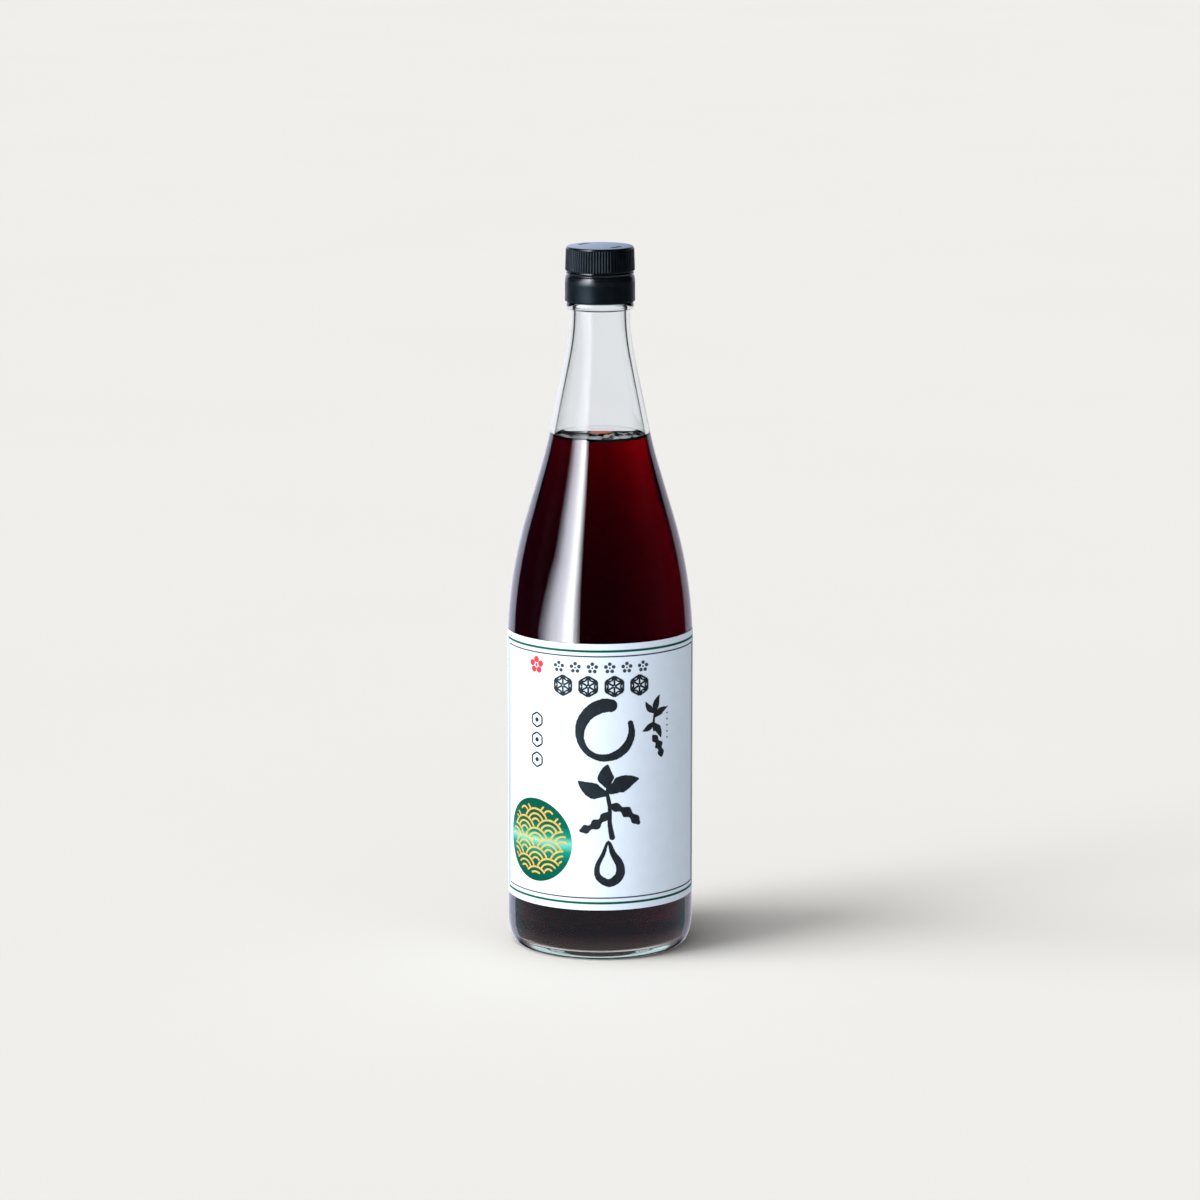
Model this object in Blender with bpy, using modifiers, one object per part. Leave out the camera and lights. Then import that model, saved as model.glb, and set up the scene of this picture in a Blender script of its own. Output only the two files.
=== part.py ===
"""A glass bottle of soy sauce with a paper label, a pouring collar and a screw cap.

Metres, +Z up. The origin is the centre of the base, where the bottle stands.
The middle of the label faces -Y.
"""

import math

import bmesh
import bpy
from mathutils import Matrix, Vector

OBJECT_NAME = "soy_sauce_bottle"

# Driving dimensions of the glass
BODY_RADIUS = 0.0405
WALL = 0.0023
HEEL_WIDTH = 0.0041
HEEL_HEIGHT = 0.0122
BEARING_WIDTH = 0.0040
PUNT_RISE = 0.0032
FLOOR_CENTRE = 0.0072
FLOOR_EDGE = 0.0036
FLOOR_ROUND = 0.0090

# The outline over the heel: where its straight runs meet (radius, height), and the arc that turns each
SHOULDER_TURN = (BODY_RADIUS, 0.1611, 0.200)
NECK_TURN = (0.0231, 0.2196, 0.190)
FINISH_TURN = (0.0129, 0.2693, 0.100)
NECK_RADIUS = FINISH_TURN[0]

# The ring under the collar, and the mouth inside the cap
RING_RADIUS = 0.0146
RING_BOTTOM = 0.2800
RING_TOP = 0.2833
MOUTH_TOP = 0.3045
LIP_ROUND = 0.0008

# Contents
LIQUID_LEVEL = 0.2258

# Label
LABEL_THICKNESS = 0.0002
LABEL_BOTTOM = 0.0228
LABEL_TOP = 0.1405
LABEL_LEFT = math.radians(-82)
LABEL_RIGHT = math.radians(86)

# Collar
COLLAR_BOTTOM = 0.2836
COLLAR_BOTTOM_RADIUS = 0.01525
COLLAR_SHOULDER = 0.2948
COLLAR_TOP_RADIUS = 0.0150
COLLAR_BEAD_RADIUS = 0.01475
COLLAR_GROOVE_RADIUS = 0.0143
COLLAR_BEAD = (0.2953, 0.2960)
SPIGOT_RADIUS = 0.0138
SPIGOT_TOP = 0.3000

# Cap
CAP_BOTTOM = 0.2965
CAP_TOP = 0.3073
CAP_BOTTOM_RADIUS = 0.01485
CAP_TOP_RADIUS = 0.0145
CAP_EDGE = 0.0005
CAP_HOLLOW_TOP = 0.3048
RIB_COUNT = 72
RIB_HEIGHT = 0.0003
RIB_WIDTH = 0.0006
RIB_BOTTOM = 0.2967
RIB_TOP = 0.3066
ARROW_RADIUS = 0.0095
ARROW_SWEEP = math.radians(30)
ARROW_WIDTH = 0.0008
ARROW_HEAD = 0.0020
ARROW_DEPTH = 0.0003
ARROW_AZIMUTHS = (math.radians(-62), math.radians(118))

# Pieces that touch are modelled this far apart
GAP = 0.0003

TURN_STEPS = 60
LABEL_STEPS = 42
ARC_SAG = 0.00008


def clear_scene():
    for obj in list(bpy.data.objects):
        bpy.data.objects.remove(obj, do_unlink=True)


def new_collection(name, hidden=False):
    collection = bpy.data.collections.new(name)
    collection.hide_render = hidden
    bpy.context.scene.collection.children.link(collection)
    return collection


def material(name, color, roughness, metallic=0.0, transmission=0.0, ior=1.5):
    made = bpy.data.materials.new(name)
    made.use_nodes = True
    shader = made.node_tree.nodes["Principled BSDF"]
    shader.inputs["Base Color"].default_value = (*color, 1.0)
    shader.inputs["Roughness"].default_value = roughness
    shader.inputs["Metallic"].default_value = metallic
    shader.inputs["Transmission Weight"].default_value = transmission
    shader.inputs["IOR"].default_value = ior
    return made


def arc_points(before, corner, after):
    """The arc that turns the line at a corner, as (radius, height) pairs."""
    here = Vector(corner[:2])
    back = (Vector(before[:2]) - here).normalized()
    ahead = (Vector(after[:2]) - here).normalized()
    turn = math.pi - back.angle(ahead)
    if corner[2] == 0 or turn < 1e-6:
        return [here]
    centre = here + (back + ahead).normalized() * corner[2] / math.cos(turn / 2)
    first = here + back * corner[2] * math.tan(turn / 2) - centre
    side = math.copysign(1, back.x * ahead.y - back.y * ahead.x)
    count = max(2, math.ceil(turn / (2 * math.acos(1 - ARC_SAG / corner[2]))))
    points = []
    for step in range(count + 1):
        angle = -side * turn * step / count
        points.append(centre + Matrix.Rotation(angle, 2) @ first)
    return points


def rounded(corners):
    """A line through corners (radius, height, arc), with its arcs."""
    points = [Vector(corners[0][:2])]
    for before, corner, after in zip(corners, corners[1:], corners[2:]):
        points += arc_points(before, corner, after)
    return points + [Vector(corners[-1][:2])]


def inset(corners, distance):
    """The same corners moved to the left of the line's way by a distance, which is inwards on its way up."""
    moved = []
    for index, corner in enumerate(corners):
        here = Vector(corner[:2])
        runs = []
        if index > 0:
            runs.append((here - Vector(corners[index - 1][:2])).normalized())
        if index < len(corners) - 1:
            runs.append((Vector(corners[index + 1][:2]) - here).normalized())
        normals = [Vector((-run.y, run.x)) for run in runs]
        middle = sum(normals, Vector((0, 0))).normalized()
        place = here + middle * distance / middle.dot(normals[0])
        bend = runs[0].x * runs[-1].y - runs[0].y * runs[-1].x
        arc = corner[2] - math.copysign(distance, bend) if corner[2] else 0
        moved.append((max(place.x, 0) if here.x else 0, place.y, arc))
    return moved


def glass_side():
    """The corners of the glass's outer side, from the floor up to the mouth."""
    return [
        (BODY_RADIUS, 0, 0),
        SHOULDER_TURN,
        NECK_TURN,
        FINISH_TURN,
        (NECK_RADIUS, MOUTH_TOP, 0),
    ]


def hollow_side():
    """The corners of the glass's inside, from the middle of its floor up to the mouth."""
    wall = inset(glass_side(), WALL)
    return [
        (0, FLOOR_CENTRE, 0),
        (wall[0][0], FLOOR_EDGE, FLOOR_ROUND),
        *wall[1:],
    ]


def below(points, level):
    """The points of a rising line up to a level, ending on it."""
    kept = [point for point in points if point.y < level]
    over = points[len(kept)]
    share = (level - kept[-1].y) / (over.y - kept[-1].y)
    return kept + [kept[-1].lerp(over, share)]


def heel():
    """The quarter ellipse between the body's side and the ring that the bottle stands on, top first."""
    points = []
    steps = 6
    for step in range(steps + 1):
        angle = math.pi / 2 * step / steps
        radius = BODY_RADIUS - HEEL_WIDTH * (1 - math.cos(angle))
        height = HEEL_HEIGHT * (1 - math.sin(angle))
        points.append(Vector((radius, height)))
    return points


def punt():
    """The hollow under the base, from the bearing ring in to the axis."""
    edge = BODY_RADIUS - HEEL_WIDTH - BEARING_WIDTH
    points = []
    steps = 5
    for step in range(steps + 1):
        angle = math.pi / 2 * step / steps
        points.append(Vector((edge * math.cos(angle), PUNT_RISE * math.sin(angle))))
    return points


def neck_ring():
    """The bead of glass just under the collar, top first."""
    middle = (RING_TOP + RING_BOTTOM) / 2
    half = (RING_TOP - RING_BOTTOM) / 2
    depth = RING_RADIUS - NECK_RADIUS
    points = []
    steps = 6
    for step in range(steps + 1):
        angle = math.pi / 2 - math.pi * step / steps
        reach = abs(math.cos(angle)) ** 0.5
        points.append(Vector((NECK_RADIUS + depth * reach, middle + half * math.sin(angle))))
    return points


def turned(name, points, steps, closed=False, angle=math.tau):
    """A profile of (radius, height) points turned round Z. It runs down the outer side."""
    mesh = bpy.data.meshes.new(name)
    edges = [(i, i + 1) for i in range(len(points) - 1)]
    if closed:
        edges.append((len(points) - 1, 0))
    mesh.from_pydata([(point[0], 0, point[1]) for point in points], edges, [])
    obj = bpy.data.objects.new(name, mesh)
    screw = obj.modifiers.new("Turn", "SCREW")
    screw.angle = angle
    screw.steps = steps
    screw.render_steps = steps
    screw.use_merge_vertices = True
    screw.merge_threshold = 0.00001
    return obj


def add(obj, collection, look):
    obj.data.materials.append(look)
    collection.objects.link(obj)
    return obj


def smooth(obj, angle=35):
    """Leaves the object's mesh as its modifiers make it, shaded smooth up to an angle."""
    graph = bpy.context.evaluated_depsgraph_get()
    mesh = bpy.data.meshes.new_from_object(obj.evaluated_get(graph))
    obj.modifiers.clear()
    obj.data = mesh
    mesh.shade_smooth()
    mesh.set_sharp_from_angle(angle=math.radians(angle))


def make_bottle(collection, look):
    inside = rounded(hollow_side())
    outside = [point for point in reversed(rounded(glass_side())) if point.y > HEEL_HEIGHT]
    over_ring = [point for point in outside if point.y > RING_TOP]
    under_ring = [point for point in outside if point.y < RING_BOTTOM]
    lip = [
        Vector((inside[-1].x, MOUTH_TOP - LIP_ROUND)),
        Vector((inside[-1].x + LIP_ROUND, MOUTH_TOP)),
        Vector((NECK_RADIUS - LIP_ROUND, MOUTH_TOP)),
        Vector((NECK_RADIUS, MOUTH_TOP - LIP_ROUND)),
    ]
    profile = inside[:-1] + lip + over_ring[1:] + neck_ring() + under_ring + heel() + punt()
    return add(turned("glass_bottle", profile, TURN_STEPS), collection, look)


def make_liquid(collection, look):
    side = below(rounded(inset(hollow_side(), GAP)), LIQUID_LEVEL)
    profile = [Vector((0, LIQUID_LEVEL))] + side[::-1]
    return add(turned("soy_sauce", profile, TURN_STEPS), collection, look)


def make_label(collection, look):
    """A sheet of paper bent round the front of the body."""
    line = [(BODY_RADIUS + GAP, LABEL_TOP), (BODY_RADIUS + GAP, LABEL_BOTTOM)]
    label = turned("label", line, LABEL_STEPS, angle=LABEL_RIGHT - LABEL_LEFT)
    label.rotation_euler.z = LABEL_LEFT - math.pi / 2
    sheet = label.modifiers.new("Paper", "SOLIDIFY")
    sheet.thickness = LABEL_THICKNESS
    sheet.offset = 1
    return add(label, collection, look)


def make_collar(collection, look):
    bore = NECK_RADIUS + GAP
    foot = 0.0004
    profile = [
        (SPIGOT_RADIUS, SPIGOT_TOP),
        (SPIGOT_RADIUS, COLLAR_BEAD[1]),
        (COLLAR_BEAD_RADIUS - 0.0002, COLLAR_BEAD[1]),
        (COLLAR_BEAD_RADIUS, COLLAR_BEAD[1] - 0.0002),
        (COLLAR_BEAD_RADIUS, COLLAR_BEAD[0] + 0.0001),
        (COLLAR_GROOVE_RADIUS, COLLAR_BEAD[0]),
        (COLLAR_GROOVE_RADIUS, COLLAR_SHOULDER),
        (COLLAR_TOP_RADIUS - 0.0002, COLLAR_SHOULDER),
        (COLLAR_TOP_RADIUS, COLLAR_SHOULDER - 0.0003),
        (COLLAR_BOTTOM_RADIUS, COLLAR_BOTTOM + foot),
        (COLLAR_BOTTOM_RADIUS - foot, COLLAR_BOTTOM),
        (bore, COLLAR_BOTTOM),
        (bore, SPIGOT_TOP),
    ]
    return add(turned("pour_collar", profile, TURN_STEPS, closed=True), collection, look)


def cap_ribs():
    """The grip ribs, as one mesh of tapered bars sunk a little into the cap's side."""
    mesh = bmesh.new()
    lean = math.atan2(CAP_BOTTOM_RADIUS - CAP_TOP_RADIUS, CAP_TOP - CAP_BOTTOM)
    middle = (CAP_BOTTOM_RADIUS + CAP_TOP_RADIUS) / 2
    height = RIB_TOP - RIB_BOTTOM
    for rib in range(RIB_COUNT):
        around = Matrix.Rotation(math.tau * rib / RIB_COUNT, 4, "Z")
        out = Matrix.Translation((middle, 0, (RIB_TOP + RIB_BOTTOM) / 2))
        tilt = Matrix.Rotation(-lean, 4, "Y")
        size = Matrix.Diagonal((2 * RIB_HEIGHT, RIB_WIDTH, height, 1))
        bmesh.ops.create_cube(mesh, size=1, matrix=around @ out @ tilt @ size)
    return mesh


def arrow_outline(azimuth):
    """A bent arrow round the cap's centre, as (x, y) points."""
    start = azimuth - ARROW_SWEEP / 2
    steps = 5
    outer = []
    inner = []
    for step in range(steps + 1):
        angle = start + ARROW_SWEEP * step / steps
        outer.append((ARROW_RADIUS + ARROW_WIDTH / 2, angle))
        inner.append((ARROW_RADIUS - ARROW_WIDTH / 2, angle))
    neck = start + ARROW_SWEEP
    tip = neck + ARROW_HEAD / ARROW_RADIUS
    head = [
        (ARROW_RADIUS + ARROW_WIDTH, neck),
        (ARROW_RADIUS, tip),
        (ARROW_RADIUS - ARROW_WIDTH, neck),
    ]
    return [(r * math.cos(a), r * math.sin(a)) for r, a in outer + head + inner[::-1]]


def cutter(name, mesh, collection):
    data = bpy.data.meshes.new(name)
    bmesh.ops.recalc_face_normals(mesh, faces=mesh.faces)
    mesh.to_mesh(data)
    mesh.free()
    obj = bpy.data.objects.new(name, data)
    obj.hide_render = True
    obj.display_type = "WIRE"
    collection.objects.link(obj)
    return obj


def arrow_cutter(name, azimuth, collection):
    mesh = bmesh.new()
    low = CAP_TOP - ARROW_DEPTH
    face = mesh.faces.new([mesh.verts.new((x, y, low)) for x, y in arrow_outline(azimuth)])
    raised = bmesh.ops.extrude_face_region(mesh, geom=[face])["geom"]
    tops = [item for item in raised if isinstance(item, bmesh.types.BMVert)]
    bmesh.ops.translate(mesh, vec=(0, 0, 2 * ARROW_DEPTH), verts=tops)
    return cutter(name, mesh, collection)


def boolean(obj, other, operation):
    modifier = obj.modifiers.new(other.name, "BOOLEAN")
    modifier.operation = operation
    modifier.object = other


def make_cap(collection, cutters, look):
    hollow = SPIGOT_RADIUS + GAP
    profile = [
        (0, CAP_TOP),
        (CAP_TOP_RADIUS - CAP_EDGE, CAP_TOP),
        (CAP_TOP_RADIUS, CAP_TOP - CAP_EDGE),
        (CAP_BOTTOM_RADIUS, CAP_BOTTOM),
        (hollow, CAP_BOTTOM),
        (hollow, CAP_HOLLOW_TOP),
        (0, CAP_HOLLOW_TOP),
    ]
    cap = add(turned("screw_cap", profile, RIB_COUNT), collection, look)
    boolean(cap, cutter("cap_ribs", cap_ribs(), cutters), "UNION")
    for index, azimuth in enumerate(ARROW_AZIMUTHS):
        mark = arrow_cutter(f"arrow_{index}", azimuth, cutters)
        boolean(cap, mark, "DIFFERENCE")
    return cap


def main():
    clear_scene()
    parts = new_collection(OBJECT_NAME)
    cutters = new_collection("cutters", hidden=True)
    glass = material("clear_glass", (0.86, 0.95, 0.93), 0.02, transmission=1.0)
    sauce = material("soy_sauce", (0.10, 0.006, 0.008), 0.05, ior=1.38)
    paper = material("label_paper", (0.85, 0.88, 0.92), 0.6)
    plastic = material("cap_plastic", (0.012, 0.014, 0.02), 0.3)
    made = [
        make_bottle(parts, glass),
        make_liquid(parts, sauce),
        make_label(parts, paper),
        make_collar(parts, plastic),
        make_cap(parts, cutters, plastic),
    ]
    bpy.context.view_layer.update()
    for obj in made:
        smooth(obj)


if __name__ == "__main__":
    main()
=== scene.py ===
"""A clear glass bottle of soy sauce with a paper label and a black cap, on a pale studio floor.

Metres, +Z up. The bottle stands on the origin and the middle of its label faces -Y.
"""

import math
import random

import bmesh
import bpy
from mathutils import Matrix, Vector, noise


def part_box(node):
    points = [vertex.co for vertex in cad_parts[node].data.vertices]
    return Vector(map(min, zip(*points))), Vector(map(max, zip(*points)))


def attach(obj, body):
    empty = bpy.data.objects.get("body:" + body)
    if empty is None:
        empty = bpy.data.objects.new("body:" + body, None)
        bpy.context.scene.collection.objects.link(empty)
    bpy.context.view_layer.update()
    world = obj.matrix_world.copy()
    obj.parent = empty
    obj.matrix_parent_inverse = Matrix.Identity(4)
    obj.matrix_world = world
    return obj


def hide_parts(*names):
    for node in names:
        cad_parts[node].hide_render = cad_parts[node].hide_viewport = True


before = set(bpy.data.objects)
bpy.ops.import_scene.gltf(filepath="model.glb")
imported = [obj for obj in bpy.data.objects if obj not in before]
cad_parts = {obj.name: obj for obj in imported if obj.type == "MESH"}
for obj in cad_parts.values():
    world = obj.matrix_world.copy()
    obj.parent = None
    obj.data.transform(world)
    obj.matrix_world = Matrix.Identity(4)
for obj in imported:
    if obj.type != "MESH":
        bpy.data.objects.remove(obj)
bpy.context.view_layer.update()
GLASS_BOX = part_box("glass_bottle")
LABEL_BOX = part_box("label")
CAP_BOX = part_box("screw_cap")
COLLAR_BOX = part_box("pour_collar")

bl_info = {
    "name": "Soy Sauce Bottle",
    "version": (1, 0, 0),
    "blender": (4, 5, 0),
    "location": "3D View > Sidebar > Bottle",
    "description": "Dresses the packed soy sauce bottle in glass, liquid, paper and plastic",
    "category": "Object",
}

MM = 0.001
TURN_STEPS = 192
ARC_SAG = 0.00002

# Where the straight runs of the bottle's side meet (radius, height), and the arc that turns each
SHOULDER_TURN = (0.0405, 0.1611, 0.200)
NECK_TURN = (0.0231, 0.2196, 0.190)
FINISH_TURN = (0.0129, 0.2693, 0.100)
NECK_RADIUS = 0.0129
HEEL_WIDTH = 0.0041
HEEL_HEIGHT = 0.0122
BEARING_WIDTH = 0.0040
FLOOR_ROUND = 0.0058
LIP_ROUND = 0.0008

# The parts of the collar inside the cap, and the groove over its shoulder
SPIGOT_RADIUS = 0.0138
SPIGOT_TOP = 0.3000
COLLAR_SHOULDER = 0.2948
COLLAR_BEAD_RADIUS = 0.01475
COLLAR_GROOVE_RADIUS = 0.0143
COLLAR_BEAD_BOTTOM = 0.2953
COLLAR_BEAD_TOP = 0.2960
ARROW_DEPTH = 0.0010


class BottleSizes(bpy.types.PropertyGroup):
    body_radius: bpy.props.FloatProperty(
        name="Body radius", description="Radius of the body", default=GLASS_BOX[1][0], unit="LENGTH"
    )
    wall: bpy.props.FloatProperty(
        name="Wall", description="Thickness of the glass", default=0.0023, unit="LENGTH"
    )
    floor_centre: bpy.props.FloatProperty(
        name="Floor centre", description="Height of the inside at the axis", default=0.0056, unit="LENGTH"
    )
    floor_edge: bpy.props.FloatProperty(
        name="Floor edge", description="Height of the inside at the wall", default=0.0028, unit="LENGTH"
    )
    punt_rise: bpy.props.FloatProperty(
        name="Hollow", description="Rise of the hollow under the base", default=0.0032, unit="LENGTH"
    )
    ring_radius: bpy.props.FloatProperty(
        name="Neck ring", description="Radius of the bead under the collar", default=0.0146, unit="LENGTH"
    )
    ring_bottom: bpy.props.FloatProperty(
        name="Neck ring bottom", description="Lower edge of the bead", default=0.2800, unit="LENGTH"
    )
    ring_top: bpy.props.FloatProperty(
        name="Neck ring top", description="Upper edge of the bead", default=0.2833, unit="LENGTH"
    )
    mouth_top: bpy.props.FloatProperty(
        name="Mouth", description="Height of the mouth", default=GLASS_BOX[1][2], unit="LENGTH"
    )


class SauceSizes(bpy.types.PropertyGroup):
    level: bpy.props.FloatProperty(
        name="Level", description="Where the liquid meets the glass", default=0.2258, unit="LENGTH"
    )
    climb: bpy.props.FloatProperty(
        name="Climb", description="How far the liquid climbs the glass", default=0.0009, unit="LENGTH"
    )
    overlap: bpy.props.FloatProperty(
        name="Overlap", description="How far it reaches into the wall", default=0.00006, unit="LENGTH"
    )
    # The dark rim is painted shade on the band where the liquid meets the glass
    rim: bpy.props.FloatProperty(
        name="Dark rim", description="Height of the line round the liquid", default=0.0012, unit="LENGTH"
    )
    bubbles: bpy.props.IntProperty(
        name="Bubbles", description="Small bubbles along the edge of the liquid", default=46
    )


class LabelSizes(bpy.types.PropertyGroup):
    left: bpy.props.FloatProperty(
        name="Left end", description="Angle from the middle", default=math.radians(-82), subtype="ANGLE"
    )
    right: bpy.props.FloatProperty(
        name="Right end", description="Angle from the middle", default=math.radians(86), subtype="ANGLE"
    )
    bottom: bpy.props.FloatProperty(
        name="Bottom", description="Lower edge", default=LABEL_BOX[0][2], unit="LENGTH"
    )
    top: bpy.props.FloatProperty(
        name="Top", description="Upper edge", default=LABEL_BOX[1][2], unit="LENGTH"
    )
    thickness: bpy.props.FloatProperty(
        name="Paper", description="Thickness of the paper", default=0.00012, unit="LENGTH"
    )
    rule_inset: bpy.props.FloatProperty(
        name="Green rule", description="From the edge to the green rule", default=0.0027, unit="LENGTH"
    )
    rule_width: bpy.props.FloatProperty(
        name="Rule width", description="Width of the green rule", default=0.0010, unit="LENGTH"
    )
    hairline_inset: bpy.props.FloatProperty(
        name="Grey rule", description="From the edge to the grey rule", default=0.0052, unit="LENGTH"
    )
    hairline_width: bpy.props.FloatProperty(
        name="Grey rule width", description="Width of the grey rule", default=0.00058, unit="LENGTH"
    )
    disc_radius: bpy.props.FloatProperty(
        name="Foil disc", description="Radius of the foil disc", default=0.0184, unit="LENGTH"
    )
    disc_across: bpy.props.FloatProperty(
        name="Disc across", description="Centre of the disc round the body", default=-0.0307, unit="LENGTH"
    )
    disc_height: bpy.props.FloatProperty(
        name="Disc height", description="Height of the disc's centre", default=0.0518, unit="LENGTH"
    )


class CapSizes(bpy.types.PropertyGroup):
    bottom: bpy.props.FloatProperty(
        name="Cap bottom", description="Lower edge", default=CAP_BOX[0][2], unit="LENGTH"
    )
    top: bpy.props.FloatProperty(
        name="Cap top", description="Upper face", default=CAP_BOX[1][2], unit="LENGTH"
    )
    bottom_radius: bpy.props.FloatProperty(
        name="Bottom radius", description="Between the ribs", default=0.01485, unit="LENGTH"
    )
    top_radius: bpy.props.FloatProperty(
        name="Top radius", description="Between the ribs", default=0.0145, unit="LENGTH"
    )
    edge: bpy.props.FloatProperty(
        name="Edge", description="Rounding of the top edge", default=0.0006, unit="LENGTH"
    )
    dome: bpy.props.FloatProperty(
        name="Dome", description="How far the top falls off towards its edge", default=0.0002, unit="LENGTH"
    )
    ribs: bpy.props.IntProperty(name="Ribs", description="Grip ribs round the cap", default=72)
    rib_height: bpy.props.FloatProperty(
        name="Rib height", description="How far a rib stands out", default=0.00025, unit="LENGTH"
    )
    collar_bottom: bpy.props.FloatProperty(
        name="Collar bottom", description="Lower edge of the collar", default=COLLAR_BOX[0][2], unit="LENGTH"
    )
    collar_radius: bpy.props.FloatProperty(
        name="Collar radius", description="At its lower edge", default=0.01525, unit="LENGTH"
    )
    arrow_radius: bpy.props.FloatProperty(
        name="Arrow radius", description="Radius of the bent arrows", default=0.0095, unit="LENGTH"
    )
    arrow_sweep: bpy.props.FloatProperty(
        name="Arrow length", description="Angle of one arrow", default=math.radians(30), subtype="ANGLE"
    )


class Finishes(bpy.types.PropertyGroup):
    glass: bpy.props.FloatVectorProperty(
        name="Glass", description="Tint of thick glass", default=(0.60, 0.96, 0.96), subtype="COLOR"
    )
    sauce: bpy.props.FloatVectorProperty(
        name="Soy sauce", description="Colour it lets through", default=(0.88, 0.04, 0.10), subtype="COLOR"
    )
    paper: bpy.props.FloatVectorProperty(
        name="Paper", description="Label paper", default=(0.735, 0.845, 0.99), subtype="COLOR"
    )
    ink: bpy.props.FloatVectorProperty(
        name="Ink", description="Charcoal ink", default=(0.014, 0.020, 0.026), subtype="COLOR"
    )
    grey_ink: bpy.props.FloatVectorProperty(
        name="Grey ink", description="Thin rule, small marks", default=(0.045, 0.058, 0.066), subtype="COLOR"
    )
    green_ink: bpy.props.FloatVectorProperty(
        name="Green ink", description="Border rule", default=(0.001, 0.085, 0.055), subtype="COLOR"
    )
    red_ink: bpy.props.FloatVectorProperty(
        name="Red ink", description="Small blossom", default=(0.86, 0.045, 0.055), subtype="COLOR"
    )
    foil_dark: bpy.props.FloatVectorProperty(
        name="Foil, dark", description="Ends of the disc", default=(0.001, 0.098, 0.060), subtype="COLOR"
    )
    # The pale band across the foil is a painted reflection
    foil_reflection: bpy.props.FloatVectorProperty(
        name="Foil, light", description="Band across the disc", default=(0.15, 0.56, 0.47), subtype="COLOR"
    )
    gold: bpy.props.FloatVectorProperty(
        name="Gold", description="Ornament on the disc", default=(0.66, 0.40, 0.10), subtype="COLOR"
    )
    plastic: bpy.props.FloatVectorProperty(
        name="Black plastic", description="Cap and collar", default=(0.0030, 0.0048, 0.0062), subtype="COLOR"
    )


class StudioSettings(bpy.types.PropertyGroup):
    lens: bpy.props.FloatProperty(
        name="Lens", description="Focal length", default=141.54, subtype="DISTANCE_CAMERA"
    )
    pitch: bpy.props.FloatProperty(
        name="Pitch", description="How far it looks down", default=math.radians(11.1), subtype="ANGLE"
    )
    distance: bpy.props.FloatProperty(
        name="Distance", description="From the camera to its aim", default=2.0584, unit="LENGTH"
    )
    aim_height: bpy.props.FloatProperty(
        name="Aim", description="Height that the camera aims at", default=0.151875, unit="LENGTH"
    )
    floor: bpy.props.FloatVectorProperty(
        name="Floor", description="Colour of the floor", default=(0.80, 0.79, 0.765), subtype="COLOR"
    )
    softness: bpy.props.FloatProperty(
        name="Softness", description="Width of each upper light", default=math.radians(24), subtype="ANGLE"
    )
    low_softness: bpy.props.FloatProperty(
        name="Front softness", description="Width of low light", default=math.radians(64), subtype="ANGLE"
    )
    box_brightness: bpy.props.FloatProperty(
        name="Softbox", description="Brightness of the softbox in reflections", default=28.0
    )


def sizes(kind):
    return getattr(bpy.context.scene, f"bottle_{kind}")


# Outlines of (radius, height) points


def arc_points(before, corner, after):
    """The arc that turns the line at a corner."""
    here = Vector(corner[:2])
    back = (Vector(before[:2]) - here).normalized()
    ahead = (Vector(after[:2]) - here).normalized()
    turn = math.pi - back.angle(ahead)
    if corner[2] == 0 or turn < 1e-6:
        return [here]
    centre = here + (back + ahead).normalized() * corner[2] / math.cos(turn / 2)
    first = here + back * corner[2] * math.tan(turn / 2) - centre
    side = math.copysign(1, back.x * ahead.y - back.y * ahead.x)
    count = max(2, math.ceil(turn / (2 * math.acos(1 - ARC_SAG / corner[2]))))
    points = []
    for step in range(count + 1):
        angle = -side * turn * step / count
        points.append(centre + Matrix.Rotation(angle, 2) @ first)
    return points


def rounded(corners):
    """A line through corners (radius, height, arc), with its arcs."""
    points = [Vector(corners[0][:2])]
    for before, corner, after in zip(corners, corners[1:], corners[2:]):
        points += arc_points(before, corner, after)
    return points + [Vector(corners[-1][:2])]


def inset(corners, distance):
    """The same corners moved towards the axis by a distance."""
    moved = []
    for index, corner in enumerate(corners):
        here = Vector(corner[:2])
        runs = []
        if index > 0:
            runs.append((here - Vector(corners[index - 1][:2])).normalized())
        if index < len(corners) - 1:
            runs.append((Vector(corners[index + 1][:2]) - here).normalized())
        normals = [Vector((-run.y, run.x)) for run in runs]
        middle = sum(normals, Vector((0, 0))).normalized()
        place = here + middle * distance / middle.dot(normals[0])
        bend = runs[0].x * runs[-1].y - runs[0].y * runs[-1].x
        arc = corner[2] - math.copysign(distance, bend) if corner[2] else 0
        moved.append((max(place.x, 0) if here.x else 0, place.y, arc))
    return moved


def glass_side():
    """The corners of the glass's outer side, from the floor up to the mouth."""
    glass = sizes("glass")
    return [
        (glass.body_radius, 0, 0),
        SHOULDER_TURN,
        NECK_TURN,
        FINISH_TURN,
        (NECK_RADIUS, glass.mouth_top, 0),
    ]


def hollow_side():
    """The corners of the glass's inside, from the middle of its floor up to the mouth."""
    glass = sizes("glass")
    wall = inset(glass_side(), glass.wall)
    return [
        (0, glass.floor_centre, 0),
        (wall[0][0], glass.floor_edge, FLOOR_ROUND),
        *wall[1:],
    ]


def below(points, level):
    """The points of a rising line up to a level, ending on it."""
    kept = [point for point in points if point.y < level]
    over = points[len(kept)]
    share = (level - kept[-1].y) / (over.y - kept[-1].y)
    return kept + [kept[-1].lerp(over, share)]


def with_point_at(points, level):
    """The points of a falling line, with one more where it passes a level."""
    over = [point for point in points if point.y > level]
    under = points[len(over)]
    share = (over[-1].y - level) / (over[-1].y - under.y)
    return over + [over[-1].lerp(under, share)] + points[len(over):]


def heel():
    """The quarter ellipse between the body's side and the ring that the bottle stands on, top first."""
    glass = sizes("glass")
    points = []
    steps = 14
    for step in range(steps + 1):
        angle = math.pi / 2 * step / steps
        radius = glass.body_radius - HEEL_WIDTH * (1 - math.cos(angle))
        points.append(Vector((radius, HEEL_HEIGHT * (1 - math.sin(angle)))))
    return points


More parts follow.
